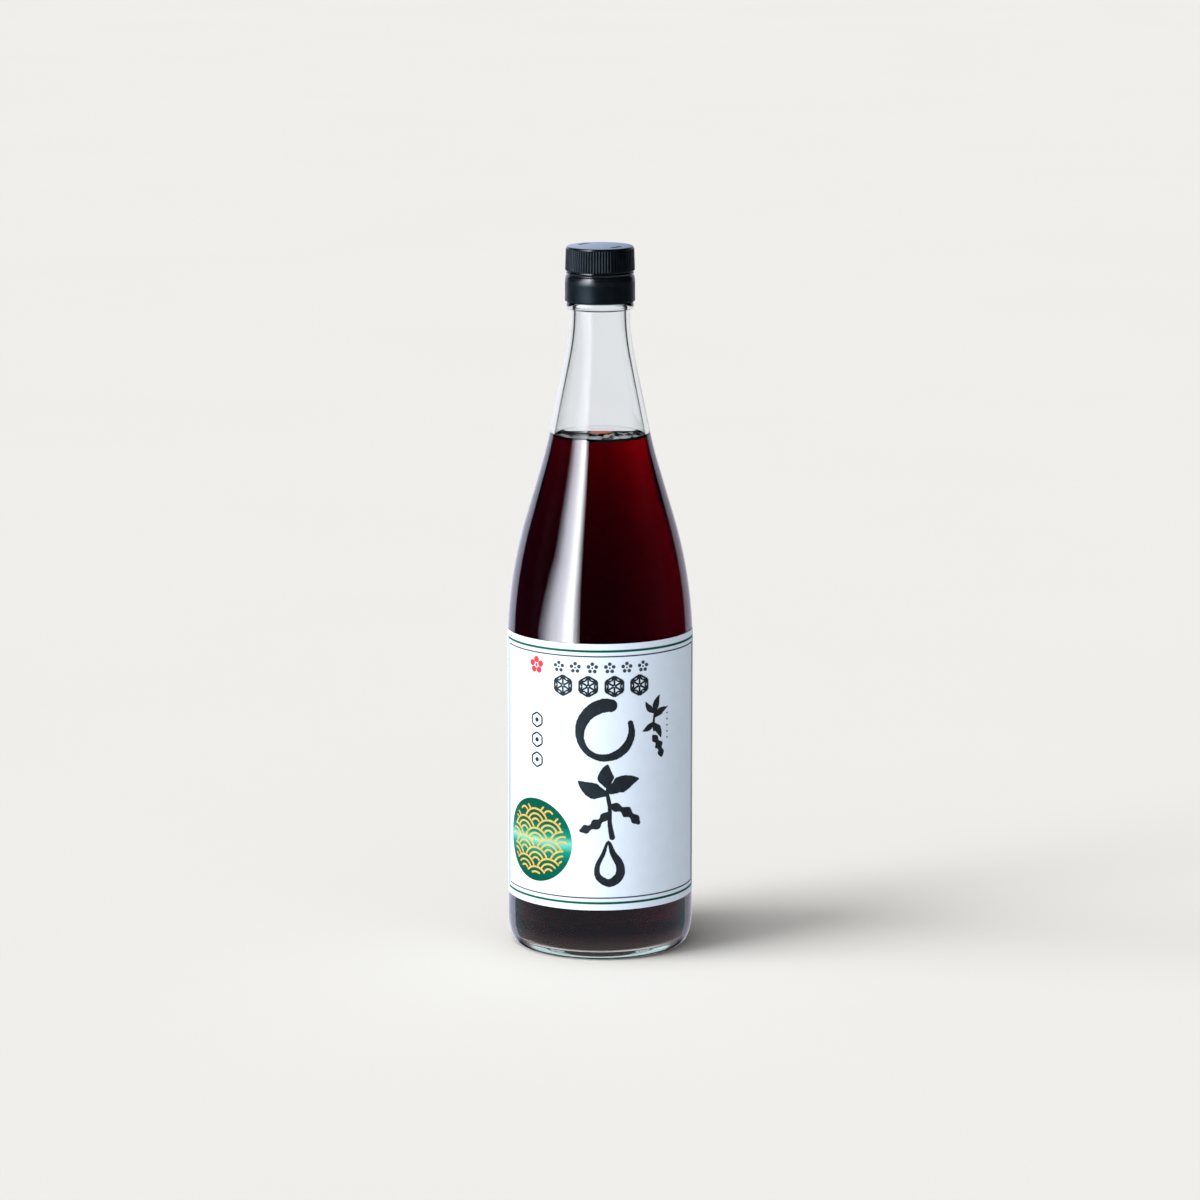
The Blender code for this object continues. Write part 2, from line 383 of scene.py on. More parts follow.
def punt():
    """The hollow under the base, from the bearing ring in to the axis."""
    glass = sizes("glass")
    edge = glass.body_radius - HEEL_WIDTH - BEARING_WIDTH
    points = []
    steps = 12
    for step in range(steps):
        angle = math.pi / 2 * step / steps
        points.append(Vector((edge * math.cos(angle), glass.punt_rise * math.sin(angle))))
    return points + [Vector((0, glass.punt_rise))]


def neck_ring():
    """The bead of glass just under the collar, top first."""
    glass = sizes("glass")
    middle = (glass.ring_top + glass.ring_bottom) / 2
    half = (glass.ring_top - glass.ring_bottom) / 2
    depth = glass.ring_radius - NECK_RADIUS
    points = []
    steps = 16
    for step in range(steps + 1):
        angle = math.pi / 2 - math.pi * step / steps
        reach = max(math.cos(angle), 0) ** 0.5
        points.append(Vector((NECK_RADIUS + depth * reach, middle + half * math.sin(angle))))
    return points


# Meshes


def wrap(radius, across, height):
    """The place on a cylinder that lies a distance across from the middle of the label."""
    angle = across / LABEL_REACH
    return (radius * math.sin(angle), -radius * math.cos(angle), height)


LABEL_REACH = GLASS_BOX[1][0] + 0.0001


def finish_piece(name, mesh, finish, node=None, angle=35):
    """Makes an object of a mesh, shades it, says what it rides on, and hides the part that it replaces."""
    bmesh.ops.recalc_face_normals(mesh, faces=mesh.faces)
    data = bpy.data.meshes.new(name)
    mesh.to_mesh(data)
    mesh.free()
    data.shade_smooth()
    data.set_sharp_from_angle(angle=math.radians(angle))
    data.materials.append(finish)
    piece = bpy.data.objects.new(name, data)
    bpy.context.scene.collection.objects.link(piece)
    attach(piece, "root")
    if node:
        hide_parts(node)
    return piece


def turned(profile, steps, closed=False, gloss_of=None):
    """A mesh of (radius, height) points turned round Z. Its gloss says how much each face reflects."""
    mesh = bmesh.new()
    gloss = mesh.faces.layers.float.new("gloss") if gloss_of else None
    rings = []
    for radius, height in profile:
        if radius < 1e-7:
            rings.append([mesh.verts.new((0, 0, height))] * steps)
            continue
        ring = []
        for step in range(steps):
            angle = math.tau * step / steps
            ring.append(mesh.verts.new((radius * math.sin(angle), -radius * math.cos(angle), height)))
        rings.append(ring)
    pairs = list(zip(rings, rings[1:]))
    if closed:
        pairs.append((rings[-1], rings[0]))
    for index, (one, two) in enumerate(pairs):
        for step in range(steps):
            after = (step + 1) % steps
            corners = [one[step], one[after], two[after], two[step]]
            face = mesh.faces.new(list(dict.fromkeys(corners)))
            if gloss_of:
                face[gloss] = gloss_of(index)
    return mesh


def slab(mesh, rows, inner, outer, closed=False):
    """A closed sheet bent round the body. Its rows hold (across, height) points."""
    tops = [[mesh.verts.new(wrap(outer, *point)) for point in row] for row in rows]
    bottoms = [[mesh.verts.new(wrap(inner, *point)) for point in row] for row in rows]
    lanes = len(rows[0]) - 1
    pairs = list(zip(range(len(rows)), range(1, len(rows))))
    if closed:
        pairs.append((len(rows) - 1, 0))
    for one, two in pairs:
        for lane in range(lanes):
            over = lane + 1
            mesh.faces.new((tops[one][lane], tops[one][over], tops[two][over], tops[two][lane]))
            mesh.faces.new((bottoms[one][lane], bottoms[two][lane], bottoms[two][over], bottoms[one][over]))
        mesh.faces.new((tops[one][0], tops[two][0], bottoms[two][0], bottoms[one][0]))
        mesh.faces.new((tops[one][-1], bottoms[one][-1], bottoms[two][-1], tops[two][-1]))
    if not closed:
        for end in (0, -1):
            for lane in range(lanes):
                over = lane + 1
                mesh.faces.new((tops[end][lane], tops[end][over], bottoms[end][over], bottoms[end][lane]))


def band(mesh, left, right, bottom, top, inner, outer):
    """A rectangle of the cylinder, as a closed sheet."""
    columns = max(2, math.ceil((right - left) / 0.0011))
    rows = []
    for step in range(columns + 1):
        across = left + (right - left) * step / columns
        rows.append([(across, bottom), (across, top)])
    slab(mesh, rows, inner, outer)


def border(mesh, inset_by, width, inner, outer):
    """A rule all round the label, a distance inside its edge."""
    label = sizes("label")
    left = label.left * LABEL_REACH + inset_by
    right = label.right * LABEL_REACH - inset_by
    bottom = label.bottom + inset_by
    top = label.top - inset_by
    band(mesh, left, right, bottom, bottom + width, inner, outer)
    band(mesh, left, right, top - width, top, inner, outer)
    band(mesh, left, left + width, bottom + width, top - width, inner, outer)
    band(mesh, right - width, right, bottom + width, top - width, inner, outer)


def curve_point(points, at, closed):
    """A point of the smooth curve through the points, at counts them from the first."""
    count = len(points)
    index = min(int(at), count - 1 if closed else count - 2)
    share = at - index
    near = []
    for offset in (-1, 0, 1, 2):
        if closed:
            near.append(points[(index + offset) % count])
        else:
            near.append(points[min(max(index + offset, 0), count - 1)])
    before, here, ahead, beyond = (Vector(point) for point in near)
    return 0.5 * (
        2 * here
        + (ahead - before) * share
        + (2 * before - 5 * here + 4 * ahead - beyond) * share**2
        + (3 * here - before - 3 * ahead + beyond) * share**3
    )


def stroke(mesh, points, lift, closed=False, rough=0.05):
    """A stroke of the brush through (across, height, width) points, in millimetres, with round ends."""
    spans = len(points) if closed else len(points) - 1
    fine = [curve_point(points, spans * step / 240, closed) for step in range(241)]
    way = [0]
    for one, two in zip(fine, fine[1:]):
        way.append(way[-1] + (two.xy - one.xy).length)
    length = way[-1]
    ends = (0, 0) if closed else (max(points[0][2], 0.1) / 2, max(points[-1][2], 0.1) / 2)
    stops = []
    if closed:
        count = max(16, math.ceil(length / 0.8))
        stops = [length * step / count for step in range(count)]
    else:
        count = max(4, math.ceil((length - ends[0] - ends[1]) / 0.8))
        stops += [ends[0] * (1 - math.cos(math.pi / 2 * step / 5)) for step in range(5)]
        stops += [ends[0] + (length - ends[0] - ends[1]) * step / count for step in range(count + 1)]
        stops += [length - ends[1] * (1 - math.cos(math.pi / 2 * step / 5)) for step in range(4, -1, -1)]
    widest = max(point[2] for point in points)
    lanes = max(1, math.ceil(widest / 1.1))
    rows = []
    index = 0
    for stop in stops:
        while index < len(way) - 2 and way[index + 1] < stop:
            index += 1
        share = (stop - way[index]) / max(way[index + 1] - way[index], 1e-9)
        here = fine[index].lerp(fine[index + 1], share)
        ahead = fine[min(index + 2, len(fine) - 1)]
        back = fine[max(index - 1, 0)]
        if closed:
            ahead = fine[(index + 2) % 240]
            back = fine[(index - 1) % 240]
        run = (ahead.xy - back.xy).normalized()
        half = max(here.z, 0.05) / 2
        for end, far in zip(ends, (stop, length - stop)):
            if not closed and far < end:
                half *= math.sqrt(max(1 - (1 - far / end) ** 2, 0.0004))
        half *= 1 + rough * noise.noise(Vector((here.x * 0.9, here.y * 0.9, 3.1)))
        side = Vector((-run.y, run.x)) * half
        rows.append([
            tuple((here.xy + side * (2 * lane / lanes - 1)) * MM) for lane in range(lanes + 1)
        ])
    slab(mesh, rows, PRINT_BOTTOM, PRINT_TOP + lift, closed)


PRINT_BOTTOM = LABEL_REACH - 0.00001
PRINT_TOP = LABEL_REACH + 0.00006


def drawing(name, strokes, finish, lift=0.0, rough=0.05):
    """A piece of strokes, each a little higher than the last, so that no two faces lie together."""
    mesh = bmesh.new()
    for index, (points, closed) in enumerate(strokes):
        stroke(mesh, points, lift + index * 0.0000007, closed, rough)
    return finish_piece(name, mesh, finish)


def moved(strokes, across, height, scale=1.0, turn=0.0):
    """The strokes of a motif, turned, scaled and put in their place."""
    placed = []
    spin = Matrix.Rotation(turn, 2)
    for points, closed in strokes:
        line = []
        for x, y, width in points:
            place = spin @ Vector((x, y)) * scale
            line.append((place.x + across, place.y + height, width * scale))
        placed.append((line, closed))
    return placed


# Motifs in millimetres, round their own middle


def brush_ring():
    """One round sweep of a loaded brush, open where it ends."""
    points = []
    for step in range(13):
        share = step / 12
        angle = math.radians(64 + 318 * share)
        reach = 11.0 + 0.5 * math.sin(2.2 * angle)
        width = 5.6 - 3.4 * share + 1.0 * math.sin(3 * math.pi * share)
        points.append((reach * math.cos(angle), 1.08 * reach * math.sin(angle), width))
    return [(points, False)]


def dot(x, y, width):
    """A round dab of the brush."""
    return ([(x - width / 2, y, width), (x + width / 2, y, width)], False)


def leaf(x, y, angle, length, width):
    """A leaf from its foot, as one pressed stroke."""
    ahead = Vector((math.cos(angle), math.sin(angle)))
    side = Vector((-ahead.y, ahead.x))
    shape = ((0, 0, 0.25), (0.16, 0.02, 0.55), (0.45, 0.06, 1.0), (0.76, 0.03, 0.62), (1, -0.04, 0.08))
    points = []
    for along, bow, press in shape:
        place = Vector((x, y)) + ahead * length * along + side * length * bow
        points.append((place.x, place.y, width * press))
    return (points, False)


def pod(x, y, angle, length, width):
    """A bean pod with three beans."""
    ahead = Vector((math.cos(angle), math.sin(angle)))
    side = Vector((-ahead.y, ahead.x))
    points = []
    for step in range(15):
        share = step / 14
        swell = 0.72 + 0.28 * math.cos(6 * math.pi * (share - 1 / 6))
        taper = math.sin(math.pi * (0.06 + 0.88 * share)) ** 0.45
        bow = 0.09 * length * math.sin(math.pi * share)
        place = Vector((x, y)) + ahead * length * share + side * bow
        points.append((place.x, place.y, width * swell * taper))
    return (points, False)


def bean_sprig():
    """A stem with three broad leaves and two pods."""
    stem = [(1.9, -16.5, 2.6), (0.6, -9, 2.0), (0.6, -2, 1.8), (-0.4, 4, 1.6), (-0.2, 8, 1.2)]
    return [
        (stem, False),
        leaf(-0.3, 6.5, math.radians(92), 10.5, 7.2),
        leaf(-0.2, 4.5, math.radians(24), 15.0, 7.4),
        leaf(-0.4, 3.8, math.radians(158), 14.0, 7.2),
        pod(0.4, -1.0, math.radians(-34), 16.5, 5.2),
        pod(0.2, -4.0, math.radians(214), 15.5, 5.0),
    ]


def drop():
    """A drop drawn as one closed line, heavy on its right."""
    points = [
        (0.2, 9.8, 1.2),
        (2.2, 4.6, 2.6),
        (5.2, -0.6, 3.7),
        (5.0, -5.6, 4.1),
        (0.6, -8.6, 3.6),
        (-4.1, -5.8, 2.8),
        (-4.5, -1.0, 2.2),
        (-2.0, 4.4, 1.8),
    ]
    return [(points, True)]


def hemp_star(reach, width):
    """The six-pointed hemp leaf figure of woven and quilted patterns."""
    figure = []
    for step in range(6):
        one = math.radians(60 * step + 30)
        two = math.radians(60 * step + 90)
        near = Vector((math.cos(one), math.sin(one))) * reach
        far = Vector((math.cos(two), math.sin(two))) * reach
        heart = (near + far) / 3
        figure.append(([(near.x, near.y, width), (far.x, far.y, width)], False))
        figure.append(([(near.x * 0.06, near.y * 0.06, width), (near.x, near.y, width)], False))
        figure.append(([(heart.x, heart.y, width), (near.x * 0.93, near.y * 0.93, width)], False))
        figure.append(([(heart.x, heart.y, width), (far.x * 0.93, far.y * 0.93, width)], False))
    return figure


def blossom(reach, petal, heart):
    """Five round petals about a small heart."""
    figure = [dot(0, 0, heart)]
    for step in range(5):
        angle = math.radians(90 + 72 * step)
        figure.append(dot(reach * math.cos(angle), reach * math.sin(angle), petal))
    return figure


def hexagon(reach, width, heart):
    """A tortoiseshell figure: a hexagon with a spot in it."""
    points = []
    for step in range(6):
        angle = math.radians(60 * step + 30)
        following = angle + math.radians(60)
        points.append((
            [
                (reach * math.cos(angle), reach * math.sin(angle), width),
                (reach * math.cos(following), reach * math.sin(following), width),
            ],
            False,
        ))
    return points + [dot(0, 0, heart)]


def waves(across, height, reach):
    """Rows of overlapping round waves, the old sea pattern, inside a circle."""
    strokes = []
    fan = 7.2
    for row in range(-6, 5):
        middle = height + row * fan * 0.60 - 1.6
        shift = fan if row % 2 else 0
        for column in range(-3, 4):
            x = across + column * 2 * fan + shift
            for ring in range(3):
                radius = fan * (0.94 - 0.31 * ring)
                points = []
                for step in range(9):
                    angle = math.radians(25 + 130 * step / 8)
                    place = Vector((x + radius * math.cos(angle), middle + radius * math.sin(angle)))
                    if (place - Vector((across, height))).length < reach:
                        points.append((place.x, place.y, 0.8))
                if len(points) > 2:
                    strokes.append((points, False))
    return strokes


# Finishes


def node(finish, kind, values=None, **settings):
    """Adds a node with its settings, and its sockets' values by name or number."""
    made = finish.node_tree.nodes.new(kind)
    for setting, value in settings.items():
        setattr(made, setting, value)
    for socket, value in (values or {}).items():
        made.inputs[socket].default_value = value
    return made


def link(finish, out, into):
    finish.node_tree.links.new(out, into)


def new_finish(name, values):
    """A finish with the values of its shader's sockets."""
    finish = bpy.data.materials.new(name)
    finish.use_nodes = True
    shader = finish.node_tree.nodes["Principled BSDF"]
    for socket, value in values.items():
        shader.inputs[socket].default_value = value
    return finish, shader


def grain(finish, scale, detail=2.0, stretch=(1, 1, 1)):
    """A noise in metres of the object's own space, stretched along its axes."""
    place = node(finish, "ShaderNodeTexCoord")
    mapping = node(finish, "ShaderNodeMapping", {"Scale": stretch})
    pattern = node(finish, "ShaderNodeTexNoise", {"Scale": scale, "Detail": detail})
    link(finish, place.outputs["Object"], mapping.inputs["Vector"])
    link(finish, mapping.outputs["Vector"], pattern.inputs["Vector"])
    return pattern.outputs["Fac"]


def ramp(finish, source, stops):
    """A colour for each height of a source from 0 to 1."""
    made = node(finish, "ShaderNodeValToRGB")
    elements = made.color_ramp.elements
    while len(elements) < len(stops):
        elements.new(0.5)
    for element, (position, color) in zip(elements, stops):
        element.position = position
        element.color = (*color, 1)
    link(finish, source, made.inputs["Fac"])
    return made.outputs["Color"]


def shade_of(color, share):
    return tuple(min(channel * share, 1) for channel in color)


def paint(finish, shader, source, stops):
    """Colours a surface by a source from 0 to 1."""
    link(finish, ramp(finish, source, stops), shader.inputs["Base Color"])


def share_from(finish, source, start, end):
    """0 where a source is at start and 1 where it is at end."""
    made = node(finish, "ShaderNodeMapRange", {"From Min": start, "From Max": end})
    link(finish, source, made.inputs["Value"])
    return made.outputs["Result"]


def chosen(finish, share, first, second):
    """The first colour where a share is 0 and the second where it is 1."""
    made = node(finish, "ShaderNodeMix", data_type="RGBA")
    link(finish, share, made.inputs[0])
    for value, socket in ((first, made.inputs[6]), (second, made.inputs[7])):
        if isinstance(value, tuple):
            socket.default_value = (*value, 1)
        else:
            link(finish, value, socket)
    return made.outputs[2]


def relief(finish, shader, source, strength, distance):
    bump = node(finish, "ShaderNodeBump", {"Strength": strength, "Distance": distance})
    link(finish, source, bump.inputs["Height"])
    link(finish, bump.outputs["Normal"], shader.inputs["Normal"])


def between(finish, source, low, high):
    """A number between low and high."""
    made = node(finish, "ShaderNodeMapRange", {"To Min": low, "To Max": high})
    link(finish, source, made.inputs["Value"])
    return made.outputs["Result"]


def absorb(finish, color, density):
    """A clear inside that takes light out with the depth."""
    volume = node(finish, "ShaderNodeVolumeAbsorption", {"Color": (*color, 1), "Density": density})
    output = finish.node_tree.nodes["Material Output"]
    link(finish, volume.outputs["Volume"], output.inputs["Volume"])


def dull_where_wet(finish, shader):
    """Takes the reflection off the faces where glass and liquid meet."""
    gloss = node(finish, "ShaderNodeAttribute", attribute_name="gloss")
    tint = ramp(finish, gloss.outputs["Fac"], [(0, grey(0)), (1, grey(1))])
    link(finish, tint, shader.inputs["Specular Tint"])


def clear_glass():
    """Clear glass, pale green where it is thick."""
    finish, shader = new_finish("clear_glass", {"Transmission Weight": 1.0, "IOR": 1.5, "Roughness": 0.0})
    drawn = grain(finish, 12, 1.0, (1, 1, 0.35))
    paint(finish, shader, drawn, [(0.3, (0.938, 0.942, 0.974)), (0.7, (0.946, 0.950, 0.984))])
    relief(finish, shader, drawn, 0.01, 0.0003)
    dull_where_wet(finish, shader)
    absorb(finish, sizes("finish").glass, 16.0)
    return finish


def soy_liquid():
    """Dark red brown liquid."""
    finish, shader = new_finish("soy_sauce", {"Transmission Weight": 1.0, "IOR": 1.37, "Roughness": 0.0})
    dull_where_wet(finish, shader)
    cloud = grain(finish, 60, 2.0)
    paint(finish, shader, cloud, [(0.35, (0.96, 0.93, 0.90)), (0.65, (1, 0.98, 0.96))])
    absorb(finish, sizes("finish").sauce, 500.0)
    return finish


def sauce_skin(edge):
    """The top of the liquid: patches of froth partly painted as reflection, a painted brown glint, a painted
    dark rim, and a pale mirror painted at the back for the room's reflection.
    """
    finish, shader = new_finish("sauce_surface", {"Specular IOR Level": 0.0})
    place = node(finish, "ShaderNodeTexCoord")
    split = node(finish, "ShaderNodeSeparateXYZ")
    flat = node(finish, "ShaderNodeVectorMath", {1: (1, 1, 0)}, operation="MULTIPLY")
    reach = node(finish, "ShaderNodeVectorMath", operation="LENGTH")
    share = node(finish, "ShaderNodeMapRange", {"From Max": edge})
    link(finish, place.outputs["Object"], split.inputs["Vector"])
    link(finish, place.outputs["Object"], flat.inputs[0])
    link(finish, flat.outputs["Vector"], reach.inputs[0])
    link(finish, reach.outputs["Value"], share.inputs["Value"])

    back = split.outputs["Y"]
    # Patches of froth whose pale parts are partly a painted reflection, made paler towards the front
    froth_and_glare = grain(finish, 330, 3.0, (1, 0.45, 1))
    darker = node(
        finish,
        "ShaderNodeMapRange",
        {"From Min": -0.006, "From Max": 0.0, "To Min": 0.06, "To Max": -0.09},
    )
    link(finish, back, darker.inputs["Value"])
    froth_and_glare = math_node(finish, "ADD", froth_and_glare, darker.outputs["Result"])
    bright = ramp(finish, froth_and_glare, [(0.46, grey(0)), (0.56, grey(1))])
    tones = [
        (0.46, (0.012, 0.013, 0.016)),
        (0.50, (0.18, 0.19, 0.20)),
        (0.60, (0.50, 0.53, 0.55)),
    ]
    tone = ramp(finish, froth_and_glare, tones)

    # A painted orange-brown glint near the back middle, standing for light through the thin liquid at its
    # edge
    centre = node(finish, "ShaderNodeVectorMath", {1: (0.0004, 0.0068, 0)}, operation="SUBTRACT")
    level = node(finish, "ShaderNodeVectorMath", {1: (1, 1, 0)}, operation="MULTIPLY")
    away = node(finish, "ShaderNodeVectorMath", operation="LENGTH")
    near = node(finish, "ShaderNodeMapRange", {"From Min": 0.0052, "From Max": 0.0040})
    link(finish, place.outputs["Object"], centre.inputs[0])
    link(finish, centre.outputs["Vector"], level.inputs[0])
    link(finish, level.outputs["Vector"], away.inputs[0])
    link(finish, away.outputs["Value"], near.inputs["Value"])
    gleam = chosen(finish, near.outputs["Result"], tone, (1.0, 0.22, 0.06))

    # Painted shade: a dark line round the edge and down the band that meets the glass
    rim = ramp(finish, share.outputs["Result"], [(0.93, grey(1)), (0.965, grey(0.02))])
    ringed = node(finish, "ShaderNodeVectorMath", operation="MULTIPLY")
    link(finish, gleam, ringed.inputs[0])
    link(finish, rim, ringed.inputs[1])
    # Painted reflection: the back part is made a pale mirror, so that the room shows brightly in it
    far = share_from(finish, back, edge * 0.46, edge * 0.52)
    color = chosen(finish, far, ringed.outputs["Vector"], (0.93, 0.95, 0.97))
    link(finish, color, shader.inputs["Base Color"])

    # The painted glint and the pale patches are made partly metallic
    sheen = node(finish, "ShaderNodeMix", {3: 0.35}, data_type="FLOAT")
    link(finish, near.outputs["Result"], sheen.inputs[0])
    link(finish, math_node(finish, "MULTIPLY", bright, 0.6), sheen.inputs[2])
    mirror = math_node(finish, "MAXIMUM", sheen.outputs[0], far)
    link(finish, mirror, shader.inputs["Metallic"])
    link(finish, between(finish, mirror, 0.5, 0.12), shader.inputs["Roughness"])
    return finish


def bubble_film():
    finish, shader = new_finish(
        "bubble_film",
        {"Transmission Weight": 1.0, "IOR": 1.12, "Roughness": 0.02},
    )
    paint(finish, shader, grain(finish, 900), [(0.3, (0.86, 0.83, 0.76)), (0.7, (0.96, 0.95, 0.92))])
    return finish


def label_paper():
    """Smooth white paper with faint fibres."""
    finish, shader = new_finish("label_paper", {"IOR": 1.45, "Specular IOR Level": 0.1})
    color = tuple(sizes("finish").paper)
    cloud = grain(finish, 160, 4.0)
    fibre = grain(finish, 2600, 3.0, (1, 1, 0.3))
    paint(finish, shader, cloud, [(0.3, shade_of(color, 0.975)), (0.7, shade_of(color, 1.01))])
    link(finish, between(finish, fibre, 0.48, 0.62), shader.inputs["Roughness"])
    relief(finish, shader, fibre, 0.25, 0.00003)
    return finish


def printed(name, color, low=0.9, high=1.15, roughness=0.5):
    """Ink on the paper, a little uneven as brush and press leave it."""
    finish, shader = new_finish(name, {"IOR": 1.45, "Specular IOR Level": 0.08})
    patches = grain(finish, 420, 4.0, (1, 1, 0.5))
    paint(finish, shader, patches, [(0.3, shade_of(color, low)), (0.7, shade_of(color, high))])
    link(finish, between(finish, patches, roughness - 0.08, roughness + 0.08), shader.inputs["Roughness"])
    relief(finish, shader, grain(finish, 2600, 3.0), 0.2, 0.00002)
    return finish


def foil():
    """Green metal foil with a painted reflection: pale in a band across its middle, a little darker towards
    its top and foot.
    """
    finish, shader = new_finish("green_foil", {"Metallic": 0.01, "Specular IOR Level": 0.03})
    colors = sizes("finish")
    label = sizes("label")
    place = node(finish, "ShaderNodeTexCoord")
    split = node(finish, "ShaderNodeSeparateXYZ")
    link(finish, place.outputs["Object"], split.inputs["Vector"])
    foot = label.disc_height - label.disc_radius
    crown = label.disc_height + label.disc_radius
    height = share_from(finish, split.outputs["Z"], foot, crown)
    wander = node(finish, "ShaderNodeMath", {1: 0.05}, operation="MULTIPLY_ADD")
    link(finish, grain(finish, 70, 2.0, (0.5, 0.5, 3)), wander.inputs[0])
    link(finish, height, wander.inputs[2])
    dark = tuple(colors.foil_dark)
    light = tuple(colors.foil_reflection)
    middle = (0.004, 0.24, 0.165)
    # Painted reflection: pale across the middle of the disc, darker towards its top and foot
    stops = [
        (0.04, shade_of(dark, 0.7)),
        (0.30, dark),
        (0.43, middle),
        (0.53, light),
        (0.60, middle),
        (0.73, dark),
        (0.97, shade_of(dark, 0.75)),
    ]
    paint(finish, shader, wander.outputs["Value"], stops)
    brushed = grain(finish, 900, 3.0, (0.2, 0.2, 3))
    link(finish, between(finish, brushed, 0.36, 0.52), shader.inputs["Roughness"])
    relief(finish, shader, brushed, 0.15, 0.00002)
    return finish


def gold_leaf():
    finish, shader = new_finish("gold_print", {"Metallic": 0.01, "Specular IOR Level": 0.03})
    color = tuple(sizes("finish").gold)
    patches = grain(finish, 500, 3.0)
    paint(finish, shader, patches, [(0.3, shade_of(color, 0.85)), (0.7, shade_of(color, 1.15))])
    link(finish, between(finish, patches, 0.36, 0.5), shader.inputs["Roughness"])
    return finish


def black_plastic():
    """Moulded black plastic, slightly paler where it is handled and matt on the skirt of the collar."""
    finish, shader = new_finish("cap_plastic", {"IOR": 1.5, "Specular IOR Level": 0.35})
    color = tuple(sizes("finish").plastic)
    handled = grain(finish, 240, 4.0)
    mould = grain(finish, 3500, 2.0)
    paint(finish, shader, handled, [(0.35, shade_of(color, 0.85)), (0.68, shade_of(color, 1.5))])
    place = node(finish, "ShaderNodeTexCoord")
    split = node(finish, "ShaderNodeSeparateXYZ")
    link(finish, place.outputs["Object"], split.inputs["Vector"])
    matt = node(
        finish,
        "ShaderNodeMapRange",
        {"From Min": COLLAR_SHOULDER, "From Max": COLLAR_SHOULDER - 0.0036, "To Min": 0, "To Max": 0.22},
    )
    link(finish, split.outputs["Z"], matt.inputs["Value"])
    rough = node(finish, "ShaderNodeMath", operation="ADD")
    link(finish, between(finish, handled, 0.13, 0.19), rough.inputs[0])
    link(finish, matt.outputs["Result"], rough.inputs[1])
    link(finish, rough.outputs["Value"], shader.inputs["Roughness"])
    relief(finish, shader, mould, 0.08, 0.00001)
    gloss = node(finish, "ShaderNodeAttribute", attribute_name="gloss")
    tints = [(0, grey(0)), (0.3, (0.20, 0.27, 0.33)), (1, grey(1))]
    link(finish, ramp(finish, gloss.outputs["Fac"], tints), shader.inputs["Specular Tint"])
    return finish


# The bottle's pieces


def make_glass():
    glass = sizes("glass")
    sauce = sizes("sauce")
    inside = rounded(hollow_side())
    wet = below(inside, sauce.level)
    dry = [point for point in inside if point.y > sauce.level]
    outside = [point for point in reversed(rounded(glass_side())) if point.y > HEEL_HEIGHT]
    outside = with_point_at(outside, sauce.level)
    outside.append(Vector((glass.body_radius, sizes("label").bottom)))
    over_ring = [point for point in outside if point.y > glass.ring_top]
    under_ring = [point for point in outside if point.y < glass.ring_bottom]
    mouth = dry[-1].x
    lip = [
        Vector((mouth, glass.mouth_top - LIP_ROUND)),
        Vector((mouth + LIP_ROUND * 0.3, glass.mouth_top - LIP_ROUND * 0.3)),
        Vector((mouth + LIP_ROUND, glass.mouth_top)),
        Vector((NECK_RADIUS - LIP_ROUND, glass.mouth_top)),
        Vector((NECK_RADIUS - LIP_ROUND * 0.3, glass.mouth_top - LIP_ROUND * 0.3)),
        Vector((NECK_RADIUS, glass.mouth_top - LIP_ROUND)),
    ]
    profile = wet + dry[:-1] + lip + over_ring[1:] + neck_ring() + under_ring + heel() + punt()
    last_wet = len(wet) - 1

    def gloss(index):
        """None against the liquid, little round the empty neck, less below the label, and full between."""
        if index < last_wet:
            return 0.0
        if profile[index].y > sauce.level:
            return 0.15
        return 0.82 if profile[index].y <= sizes("label").bottom else 1.0

    mesh = turned(profile, TURN_STEPS, gloss_of=gloss)
    finish_piece("glass_bottle", mesh, clear_glass(), "glass_bottle")


def make_sauce():
    sauce = sizes("sauce")
    side = below(rounded(inset(hollow_side(), -sauce.overlap)), sauce.level)
    edge = side[-1].x
    surface = [Vector((0, sauce.level - sauce.climb))]
    for step in range(1, 16):
        reach = 1 - (1 - step / 16) ** 2
        away = edge * (1 - reach)
        climb = sauce.climb * (math.exp(-away / 0.0011) - 1)
        surface.append(Vector((edge - away, sauce.level + climb)))
    profile = surface + side[::-1]
    mesh = turned(profile, TURN_STEPS, gloss_of=lambda index: 0.0)
    finish_piece("soy_sauce", mesh, soy_liquid(), "soy_sauce", angle=60)
    lean = (side[-2].x - edge) / (side[-2].y - sauce.level)
    skin = [point + Vector((0, 0.00003)) for point in surface]
    # A band down the glass below the level, which carries the painted dark rim
    skin.append(Vector((edge + 0.00002, sauce.level + 0.00003)))
    skin.append(Vector((edge + 0.00002 - lean * sauce.rim, sauce.level - sauce.rim)))
    skin.append(Vector((0, sauce.level - sauce.rim)))
    finish_piece("sauce_surface", turned(skin, TURN_STEPS), sauce_skin(edge), angle=60)
    make_bubbles(edge, sauce)


def make_bubbles(edge, sauce):
    """Small bubbles that cling to the glass along the front edge of the liquid."""
    chance = random.Random(4)
    mesh = bmesh.new()
    for index in range(sauce.bubbles):
        radius = chance.choice((0.00028, 0.0004, 0.00055, 0.0007))
        angle = math.radians(-95 + 190 * (index + chance.uniform(0.1, 0.9)) / sauce.bubbles)
        reach = edge - radius - chance.uniform(0.0001, 0.0005)
        place = Matrix.Translation((reach * math.sin(angle), -reach * math.cos(angle), sauce.level - 0.0003))
        squat = Matrix.Diagonal((1, 1, 0.8, 1))
        bmesh.ops.create_uvsphere(mesh, u_segments=16, v_segments=9, radius=radius, matrix=place @ squat)
    finish_piece("rim_bubbles", mesh, bubble_film(), angle=80)


